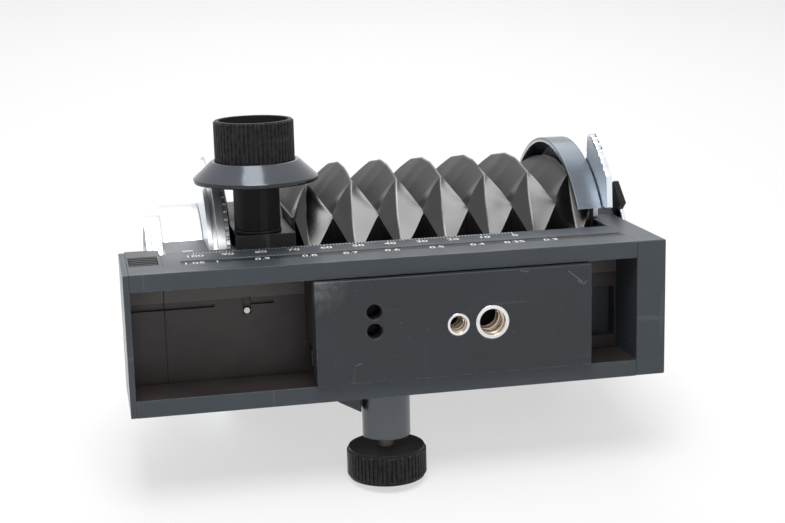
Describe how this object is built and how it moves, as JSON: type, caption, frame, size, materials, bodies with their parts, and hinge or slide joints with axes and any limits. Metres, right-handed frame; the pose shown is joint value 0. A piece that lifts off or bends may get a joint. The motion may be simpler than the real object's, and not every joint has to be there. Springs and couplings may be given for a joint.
{
  "type": "macro bellows unit",
  "caption": "Rail with tripod slide, fixed lens standard with a round hood and a geared camera standard that folds a pleated bellows between them.",
  "frame": {"origin": "mouth of the large tripod thread, in the face of the tripod plate that the unit rests on", "axes": "+X along the rail and the optical axis towards the lens, +Z from the tripod face up to the bellows, +Y to the side of the rail drive knob"},
  "size_m": [0.1675, 0.1101, 0.1108],
  "materials": {
    "black_anodised": "black anodised, scratched round the threads",
    "plated_brass": "nickel-plated brass",
    "worn_black": "dull black, rubbed brown on the running faces",
    "rack_steel": "machined",
    "rail_paint": "black crinkle-free enamel, worn at the corners",
    "dark_plastic": "matt",
    "spring_steel": "bright",
    "grey_satin": "grey satin",
    "pinion_brass": "machined",
    "knob_black": "matt black, fluted",
    "satin_black": "satin black",
    "satin_chrome": "satin",
    "bright_chrome": "polished",
    "bellows_leather": "smooth coated bellows cloth, semi-gloss",
    "drag_plastic": "plain",
    "gloss_black": "gloss black"
  },
  "bodies": {
    "tripod_slide": {"tripod_plate": "black_anodised", "thread_bush_small": "plated_brass", "thread_bush_large": "plated_brass", "slide_block": "worn_black", "slide_rack": "rack_steel"},
    "rail": {"rail_body": "rail_paint", "rear_end_cap": "rail_paint", "rear_end_block": "rail_paint", "catch_spring": "spring_steel", "stop_pin": "spring_steel", "focus_rack": "rack_steel", "drive_bush": "grey_satin", "drive_lug": "rail_paint", "front_standard": "rail_paint", "front_hood": "satin_black", "lens_mount": "bright_chrome", "release_lever_pin": "spring_steel", "bellows_front_frame": "satin_black", "bellows": "bellows_leather"},
    "drive_knob": {"drive_shaft": "rack_steel", "drive_pinion": "pinion_brass", "drive_knob": "knob_black"},
    "catch": {"catch_button": "dark_plastic"},
    "lens_lock": {"lens_lock_plate": "satin_chrome"},
    "lens_release": {"lens_release_lever": "dark_plastic"},
    "camera_standard": {"camera_base": "rail_paint", "guide_keel": "rack_steel", "pinion_block": "satin_black", "drag_pad": "drag_plastic", "focus_bearing": "pinion_brass", "rear_ring": "bright_chrome", "rear_collar": "satin_black", "bellows_rear_frame": "satin_black", "rotation_lever_pin": "spring_steel"},
    "camera_mount": {"camera_mount": "bright_chrome", "mount_retainer": "spring_steel"},
    "rotation_lock": {"rotation_lever": "satin_chrome"},
    "focus_knob": {"focus_shaft": "rack_steel", "focus_pinion": "pinion_brass", "knob_neck": "dark_plastic", "knob_washer": "knob_black", "knob_skirt": "gloss_black", "knob_grip": "knob_black"}
  },
  "joints": [
    {"name": "tripod_slide", "type": "slide", "parent": "tripod_slide", "child": "rail", "axis": [1, 0, 0], "range_m": [-0.014, 0.051]},
    {"name": "drive_knob_turn", "type": "hinge", "parent": "rail", "child": "drive_knob", "pos_m": [-0.0306, 0.04, 0.014], "axis": [0, 1, 0], "range_deg": [-223, 812]},
    {"name": "focus_slide", "type": "slide", "parent": "rail", "child": "camera_standard", "axis": [1, 0, 0], "range_m": [0, 0.087], "deforming": ["bellows"]},
    {"name": "focus_knob_turn", "type": "hinge", "parent": "camera_standard", "child": "focus_knob", "pos_m": [-0.0651, -0.05, 0.035], "axis": [0, 1, 0], "range_deg": [0, 891]},
    {"name": "camera_rotation", "type": "hinge", "parent": "camera_standard", "child": "camera_mount", "pos_m": [-0.088, -0.0028, 0.0686], "axis": [1, 0, 0], "range_deg": [0, 90]},
    {"name": "rotation_lock_turn", "type": "hinge", "parent": "camera_standard", "child": "rotation_lock", "pos_m": [-0.082, 0.01445, 0.09848], "axis": [1, 0, 0], "range_deg": [0, 30]},
    {"name": "lens_lock_turn", "type": "hinge", "parent": "rail", "child": "lens_lock", "pos_m": [0.0476, -0.0028, 0.0686], "axis": [-1, 0, 0], "range_deg": [0, 25]},
    {"name": "lens_release_press", "type": "hinge", "parent": "rail", "child": "lens_release", "pos_m": [0.057, -0.02187, 0.0526], "axis": [1, 0, 0], "range_deg": [0, 6], "stiffness_Nm_per_rad": 0.05},
    {"name": "catch_press", "type": "slide", "parent": "rail", "child": "catch", "axis": [0, 1, 0], "range_m": [0, 0.0011], "stiffness_N_per_m": 400}
  ],
  "couplings": [
    {"joint": "focus_knob_turn", "follows": "focus_slide", "rad_per_m": 178.57},
    {"joint": "drive_knob_turn", "follows": "tripod_slide", "rad_per_m": 277.78}
  ]
}
